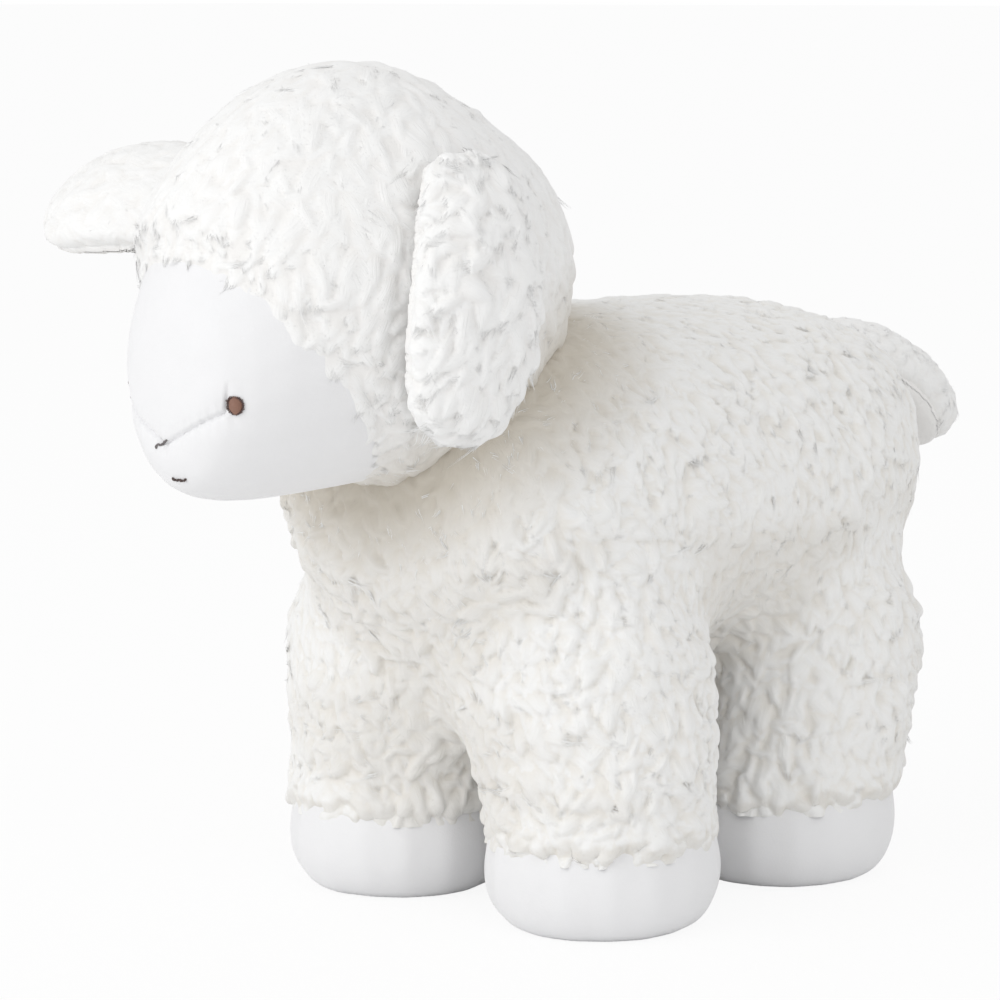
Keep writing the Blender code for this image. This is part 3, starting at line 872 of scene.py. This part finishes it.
def warmth_of(points, normals):
    """Painted shade on the wool in the hollow of the neck, under the belly and between the legs, 0 to 1."""
    neck = np.clip(neck_painted_shade - np.abs(depth_in(head_tree, points)) / neck_shade_reach, 0, 1)
    below = np.clip((body_middle[2] - points[:, 2]) / belly_ramp, 0, 1)
    under = np.clip(-normals[:, 2] * belly_gain, 0, belly_painted_shade) * below
    between = np.clip((body_low[2] + inner_leg_rise - points[:, 2]) / inner_leg_ramp, 0, 1)
    inward = -np.sign(points[:, 0] - body_middle[0]) * normals[:, 0]
    inside = np.clip(inward, 0, inner_leg_painted_shade) * between
    return np.clip(np.maximum(neck, np.maximum(under, inside)), 0, 1)


def nearest_form(points):
    """For each point 0 where the torso is nearest, or the number of the nearest leg."""
    gaps = [np.abs(depth_in(tree, points)) for tree in (body_tree, *leg_trees.values())]
    return np.argmin(np.stack(gaps, 1), axis=1)


def dress_skin():
    """Torso and legs: cloth split where the pieces are sewn together, and the wool over it."""
    skin = merged_skin()
    hem_end = ankle_height - hem_drop - edge_sink
    points, normals = scattered(skin, body_spacing, rng)
    keep = (depth_in(head_tree, points) > bare_depth) & (points[:, 2] > hem_end)
    points, normals = points[keep], normals[keep]
    owner = nearest_form(points)
    low = np.clip((body_middle[2] - points[:, 2]) / hang_ramp, 0, 1)[:, None]
    flow = flow_body(points, normals) * (1 - low) + np.array([0, 0, -1.0]) * low
    flow = flow + drift(points, flow_scale, 11) * flow_stray
    top = np.clip((normals[:, 2] - 0.5) * 2, 0, 1)
    style = style_of()
    growth = np.where(points[:, 2] < ankle_height + hem_drop, hem_tuft_growth, 1.0)
    haired = points[:, 2] > ankle_height + hem_reach + hem_drop
    haired = haired & (depth_in(head_tree, points) > hair_clearance)
    locks = tufts(points, normals, flow, style, rng, growth)
    locks["height"] = locks["height"] * (1 - back_calm * top) * patchy(points, 21) / growth
    points, normals, _ = arrays_of(skin.data)
    # Painted shade in the neck's hollow, under the belly and between the legs
    lock_of_point = tufted(skin, locks, warmth_of(points, normals))
    names = ("body", *("leg_" + name for name in LIMBS))
    covers = ("body_cover", *("leg_cover_" + name for name in LIMBS))
    for number, name in enumerate(names):
        hair = wool(name + "_wool", subset(locks, (owner == number) & haired), style, rng)
        finish(hair, fleece, "sheep", [covers[number]])
    parts = face_parts(skin, owner[lock_of_point[first_points(skin.data)]])
    for number, item in parts.items():
        item.name = names[number] + "_cloth"
        cut_level(item, hem_end, True)
        shade_as_one(item)
        finish(item, fleece, "sheep", [covers[number]])
    bpy.data.objects.remove(skin)


def first_points(mesh):
    """The number of the first corner's point of each face."""
    starts = read(mesh.polygons, "loop_start", dtype=np.int32)
    return read(mesh.loops, "vertex_index", dtype=np.int32)[starts]


def nearest_panel(points):
    """For each point, the distances to the hood, the forehead piece and the two cheeks."""
    return gaps_to([tree_of(frame["nodes"][node]) for node in PANELS], points)


def face_parts(item, owners):
    """Splits a mesh into new objects by the owner number of each face."""
    parts = {}
    for number in sorted(set(owners)):
        form = form_of([item])
        gone = [face for face in form.faces if owners[face.index] != number]
        bmesh.ops.delete(form, geom=gone, context="FACES")
        parts[number] = object_of(item.name + "_" + str(number), form)
    return parts


def patchy(points, seed):
    """How strongly the tufts stand out, in broad soft patches where the wool is brushed or curled."""
    return np.clip(0.85 + 0.8 * wobble(points, patch_scale, seed), *patch_range)


def hood_locks(points, facing, edge, style):
    """Tufts of the hood, lying outward from the crown and shorter towards the face."""
    low, high = np.array(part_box("head_hood"))
    crown = np.array([(low[0] + high[0]) / 2, (low[1] + high[1]) / 2, high[2]])
    flow = unit(points - crown) + np.array([0, 0, -0.5])
    flow = flow + drift(points, hood_flow_scale, 41) * hood_flow_stray
    growth = np.clip(edge / face_growth_reach, face_growth, 1)
    locks = tufts(points, facing, flow, style, rng, growth)
    calm = np.clip((points[:, 2] - crown[2] + crown_calm_drop) / crown_calm_ramp, 0, 1)
    locks["height"] = locks["height"] * (1 - crown_calm * calm) * patchy(points, 22)
    return locks


def dress_head():
    """The head's cloth, split into the hood, which laps over its own edge, and the face's three pieces."""
    points, _, _ = arrays_of(head_form.data)
    gaps = nearest_panel(points)
    past_edge = gaps[:, 1:].min(axis=1) - gaps[:, 0]
    set_attribute(head_form.data, "past_edge", past_edge)
    lumpy(head_form, 31, head_lumps)
    first = first_points(head_form.data)
    hood, *faces = face_parts(head_form, np.argmin(gaps[first], axis=1)).values()
    bpy.data.objects.remove(hood)
    rest, hood = face_parts(head_form, (past_edge[first] > -hood_overlap).astype(int)).values()
    bpy.data.objects.remove(rest)
    dress_hood(hood)
    bpy.data.objects.remove(head_form)
    for item, name, node in zip(faces, FACE_CLOTHS, PANELS[1:]):
        item.name = name
        sew_face(item)
        finish(item, pile, "sheep", [node])


def dress_hood(hood):
    """The hood's wool, which rises from the face's edge and ends in a ragged line on the face's cloth."""
    hood.name = "hood_cloth"
    points, normals, _ = arrays_of(hood.data)
    past_edge = read(hood.data.attributes["past_edge"].data, "value")
    ease = eased((past_edge + hood_overlap) / (hood_ramp + hood_overlap))
    crown = crown_rise * eased((normals @ np.array(crown_facing) - crown_start) / crown_ramp)
    set_points(hood.data, points + normals * ((hood_rise + crown) * ease - edge_sink * (1 - ease))[:, None])
    roots, facing = scattered(hood, hood_spacing, rng)
    keep = depth_in(body_tree, roots) > bare_depth
    roots, facing = roots[keep], facing[keep]
    reach = nearest_panel(roots)
    edge = np.maximum(reach[:, 1:].min(axis=1) - reach[:, 0], 0)
    style = style_of(
        strands=8, length=13 * MM, width=5.4 * MM, height=1.9 * MM, wave=8 * MM, loose=1.2 * MM, stray=0.5,
        reach=1.15,
    )
    locks = hood_locks(roots, facing, edge, style)
    haired = depth_in(body_tree, roots) > hair_clearance
    hair = wool("head_wool", subset(locks, haired), style, rng)
    finish(hair, fleece_soft, "sheep", ["head_hood"])
    points, normals, _ = arrays_of(hood.data)
    # Painted shade on the hood where it comes near the torso, under the head
    hood_shade_share = 1 - np.clip(np.abs(depth_in(body_tree, points)) / neck_shade_reach, 0, 1)
    tufted(hood, locks, hood_shade_share * hood_painted_shade)
    finish(hood, fleece_soft, "sheep", ["head_hood"])


def sew_face(item):
    """Refines one piece of the face and sinks its seams, with the small gathers beside them."""
    refine = item.modifiers.new("refine", "SUBSURF")
    refine.subdivision_type = "SIMPLE"
    refine.levels = 1
    refine.render_levels = 1
    baked(item)
    points, normals, _ = arrays_of(item.data)
    gaps = nearest_panel(points)
    order = np.sort(gaps[:, 1:], axis=1)
    seam = order[:, 1] - order[:, 0]
    nose, eye = node_middle("nose_stitch"), node_middle("eye_left")
    below_eye = np.clip((eye.z + seam_fade - points[:, 2]) / seam_fade, 0.0, 1)
    above_nose = np.clip((points[:, 2] - nose.z + nose_margin) / nose_fade, 0.0, 1)
    depth = seam_depth * np.exp(-(seam / seam_width) ** 2) + dip_depth * np.exp(-(seam / dip_width) ** 2)
    gather = gather_depth * np.exp(-(seam / gather_width) ** 2)
    gather = gather * np.sin(points[:, 0] * math.tau / gather_length)
    set_points(item.data, points - normals * ((depth + gather) * below_eye * above_nose)[:, None])


def node_middle(node):
    return (Vector(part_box(node)[0]) + Vector(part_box(node)[1])) / 2


def dress_feet():
    for name, item in foot_forms.items():
        cut_level(item, ankle_height + foot_tuck, False)
        lumpy(item, 51, foot_lumps)
        points, _, _ = arrays_of(item.data)
        points[:, 2] = np.maximum(points[:, 2], floor_gap)
        set_points(item.data, points)
        low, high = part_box("sole_" + name)
        centre = node_middle("sole_" + name)
        owners = []
        for face in item.data.polygons:
            across = math.hypot(face.center.x - centre.x, face.center.y - centre.y)
            owners.append(int(across < (high[0] - low[0]) / 2 and face.center.z < sole_depth))
        parts = face_parts(item, owners)
        bpy.data.objects.remove(item)
        for number, part in enumerate(("foot", "sole")):
            piece = parts[number]
            piece.name = part + "_cloth_" + name
            finish(piece, pile, "sheep", [part + "_" + name])


# Ears and tail
def joint_of(name):
    return next(joint for joint in frame["joints"] if joint["name"] == name)


def backward_axis(joint):
    """The direction of a joint's axis that points away from the face, towards the back."""
    axis = Vector(joint["axis"])
    return axis if axis.y > 0 else -axis


def flow_flap(points, root):
    """Away from the hinge, spread a little to both sides."""
    hang = points.mean(axis=0) - root
    hang = hang / np.linalg.norm(hang)
    outward = points - root
    outward = unit(outward - hang * (outward @ hang)[:, None])
    return hang + outward * flap_flow_spread + drift(points, flow_scale, 61) * flap_flow_stray


def flap(name, body, joint, nodes, grow, spacing, style, wrap, slide=0.0):
    """A flap of two cloths sewn round their rim, as one soft pillow: tufted fleece outside, which wraps
    a little way round the rim, and smooth lining inside."""
    hinge = joint_of(joint)
    pillow = soft_form(name + "_cloth", nodes, grow, flap_voxel, flap_rounds)
    pillow.data.transform(Matrix.Translation(-backward_axis(hinge) * slide))
    trees = [tree_of(frame["nodes"][node]) for node in nodes]
    points, normals = scattered(pillow, spacing, rng)
    side = lining_side(points, trees)
    out = side < wrap
    haired = side <= -rim_reach
    flow = flow_flap(points, np.array(hinge["pos_m"]))
    locks = tufts(points[out], normals[out], flow[out], style, rng)
    hair = wool(name + "_wool", subset(locks, haired[out]), style, rng)
    points, _, _ = arrays_of(pillow.data)
    owners = lining_side(points, trees)[first_points(pillow.data)] > wrap
    outer, inner = face_parts(pillow, owners.astype(int)).values()
    bpy.data.objects.remove(pillow)
    outer.name = name + "_cloth"
    inner.name = name + "_lining_cloth"
    points, _, _ = arrays_of(outer.data)
    limit = eased((wrap - lining_side(points, trees)) / rim_reach)
    tufted(outer, locks, limit=limit)
    for item in (hair, outer):
        finish(item, fleece_soft, body, [nodes[0]])
    finish(inner, lining_pile, body, [nodes[1]])


def lining_side(points, trees):
    """How much nearer each point lies to the lining than to the fleece, negative on the fleece's side."""
    to_fleece, to_lining = gaps_to(trees, points).T
    return to_fleece - to_lining


def dress_ears():
    """The left ear, which hangs, is long-haired. The right ear, which stands out, is thicker and calmer."""
    ears = (
        ("left", 1.0, 0.8 * MM, ear_slide, 1.15, 6),
        ("right", 0.4, 1.5 * MM, 0.0, 0.5, 2),
    )
    for side, relief, grow, slide, reach, strands in ears:
        style = style_of(
            length=13 * MM, width=5.4 * MM, height=2.0 * MM * relief, wave=8 * MM, round=150 * MM,
            loose=0.8 * MM * relief ** 2, reach=reach, strands=strands,
        )
        nodes = ("ear_fleece_" + side, "ear_lining_" + side)
        name, body, joint = "ear_" + side, side + "_ear", side + "_ear_seam"
        flap(name, body, joint, nodes, grow, ear_spacing, style, ear_wrap, slide)


def dress_tail():
    style = style_of(length=7 * MM, width=4.0 * MM, height=1.0 * MM, loose=0.6 * MM, reach=1.0)
    nodes = ("tail_fleece", "tail_lining")
    flap("tail", "tail", "tail_seam", nodes, tail_grow, tail_spacing, style, tail_wrap)


# Embroidery
def threads(name, lines, radius, material, node):
    """Stitches as short round threads that sink into the cloth at both ends."""
    lines = np.array(lines)
    total, rings = lines.shape[0], lines.shape[1] - 1
    t = np.linspace(0, 1, rings + 1)[None, :]
    width = radius * np.sqrt(np.clip(1 - (2 * t - 1) ** 4, 0.02, 1)) * np.ones((total, 1))
    places, rises = np.zeros(lines.shape), np.ones(lines.shape[:2])
    item = tubes(name, lines, width, width, places, rises, sides=8)
    finish(item, material, "sheep", [node])


def stitch(tree, start, end, lift):
    """One stitch between two points of the cloth, raised in the middle and a little sunk at the ends."""
    line = []
    for t in np.linspace(0, 1, stitch_points):
        spot, normal, _, _ = tree.find_nearest(Vector(start).lerp(Vector(end), t))
        line.append(spot + normal * (lift * math.sin(math.pi * t) - stitch_end_sink * lift))
    return line


def frame_at(tree, point):
    """The cloth's nearest spot to a point, with its rightward and upward directions."""
    spot, normal, _, _ = tree.find_nearest(point)
    right = Vector((0, 0, 1)).cross(normal).normalized()
    return spot, right, normal.cross(right)


def sew_eye(tree, side):
    """A satin-stitched disc of brown thread inside a ring of short dark stitches."""
    node = "eye_" + side
    spot, right, up = frame_at(tree, node_middle(node))
    rows, edges = [], []
    for level in np.arange(-eye_radius + thread_radius, eye_radius, thread_radius * eye_row_step):
        half = math.sqrt(max(eye_radius ** 2 - level ** 2, 0)) + rng.uniform(*eye_row_stray) * MM
        middle = spot + up * level
        rows.append(stitch(tree, middle - right * half, middle + right * half, eye_lift))
    threads(node + "_thread", rows, thread_radius, brown_thread, node)
    for turn in np.arange(0, math.tau, math.tau / eye_edge_stitches):
        out = right * math.cos(turn) + up * math.sin(turn)
        start = spot + out * (eye_radius - eye_edge_inset)
        end = spot + out * (eye_radius + rng.uniform(*eye_edge_stray) * MM)
        edges.append(stitch(tree, start, end, eye_edge_lift))
    threads(node + "_edge_thread", edges, edge_thread_radius, dark_thread, node)


def sew_line(tree, node, places, radius, lift, material):
    """Stitches one after another through places, each given as right and up from the node's middle."""
    spot, right, up = frame_at(tree, node_middle(node))
    corners = [spot + right * x * MM + up * y * MM for x, y in places]
    lines = [stitch(tree, a, b, lift) for a, b in zip(corners, corners[1:])]
    threads(node + "_thread", lines, radius, material, node)


def sew_features():
    tree = tree_of(*(bpy.data.objects[name] for name in FACE_CLOTHS))
    for side in SIDES:
        sew_eye(tree, side)
    sew_line(tree, "nose_stitch", nose_places, nose_radius, nose_lift, grey_thread)
    sew_line(tree, "mouth_stitch", mouth_places, mouth_radius, mouth_lift, mouth_brown)


def dress_fillings():
    for name, item in frame["nodes"].items():
        if "stuffing" in name:
            item.data.materials.clear()
            item.data.materials.append(fibre)


dress_skin()
dress_head()
dress_feet()
dress_ears()
dress_tail()
sew_features()
dress_fillings()


# Stage
def place_camera(scene):
    back = Vector((
        math.sin(camera_azimuth) * math.cos(camera_elevation),
        -math.cos(camera_azimuth) * math.cos(camera_elevation),
        math.sin(camera_elevation),
    ))
    camera = link(bpy.data.objects.new("camera", bpy.data.cameras.new("camera")))
    camera.data.lens = camera_lens
    camera.data.sensor_width = 36.0
    camera.location = camera_target + back * camera_distance
    camera.rotation_euler = back.to_track_quat("Z", "Y").to_euler()
    scene.camera = camera


def mixed_shader(nodes, links, share, first, second, output):
    blend = nodes.new("ShaderNodeMixShader")
    links.new(share, blend.inputs["Fac"])
    links.new(first, blend.inputs[1])
    links.new(second, blend.inputs[2])
    links.new(blend.outputs["Shader"], nodes[output].inputs["Surface"])


def lay_floor():
    """A pale floor that shows almost white to the camera."""
    form = bmesh.new()
    bmesh.ops.create_grid(form, x_segments=1, y_segments=1, size=floor_size)
    ground = object_of("floor", form)
    material, nodes, links = new_material("floor")
    shader = nodes["Principled BSDF"]
    set_inputs(shader, {"Base Color": (0.93, 0.93, 0.93, 1.0), "Roughness": 0.9})
    ray = nodes.new("ShaderNodeLightPath")
    glow = nodes.new("ShaderNodeEmission")
    glow.inputs["Strength"].default_value = 1.0
    share = math_node(nodes, links, "MULTIPLY", ray.outputs["Is Camera Ray"], floor_glow)
    mixed_shader(nodes, links, share, shader.outputs["BSDF"], glow.outputs["Emission"], "Material Output")
    ground.data.materials.append(material)


def light_world(scene):
    """Soft light from all sides, in front of a white background."""
    world = bpy.data.worlds.new("world")
    world.use_nodes = True
    scene.world = world
    nodes, links = world.node_tree.nodes, world.node_tree.links
    light = nodes["Background"]
    seen = nodes.new("ShaderNodeBackground")
    for background, strength in ((light, world_strength), (seen, 1.0)):
        set_inputs(background, {"Color": (1.0, 1.0, 1.0, 1.0), "Strength": strength})
    ray = nodes.new("ShaderNodeLightPath")
    direct = math_node(nodes, links, "MAXIMUM", ray.outputs["Is Camera Ray"], ray.outputs["Is Glossy Ray"])
    direct = math_node(nodes, links, "MAXIMUM", direct, ray.outputs["Is Transmission Ray"])
    mixed_shader(nodes, links, direct, light.outputs[0], seen.outputs[0], "World Output")


def hang_lamps():
    for name, place, width, power in lamps:
        data = bpy.data.lights.new(name, "AREA")
        data.size = width
        data.energy = power
        lamp = link(bpy.data.objects.new(name, data))
        lamp.location = place
        lamp.rotation_euler = (lamp_aim - Vector(place)).to_track_quat("-Z", "Y").to_euler()


def studio():
    scene = bpy.context.scene
    scene.view_settings.view_transform = "Standard"
    place_camera(scene)
    lay_floor()
    light_world(scene)
    hang_lamps()


studio()
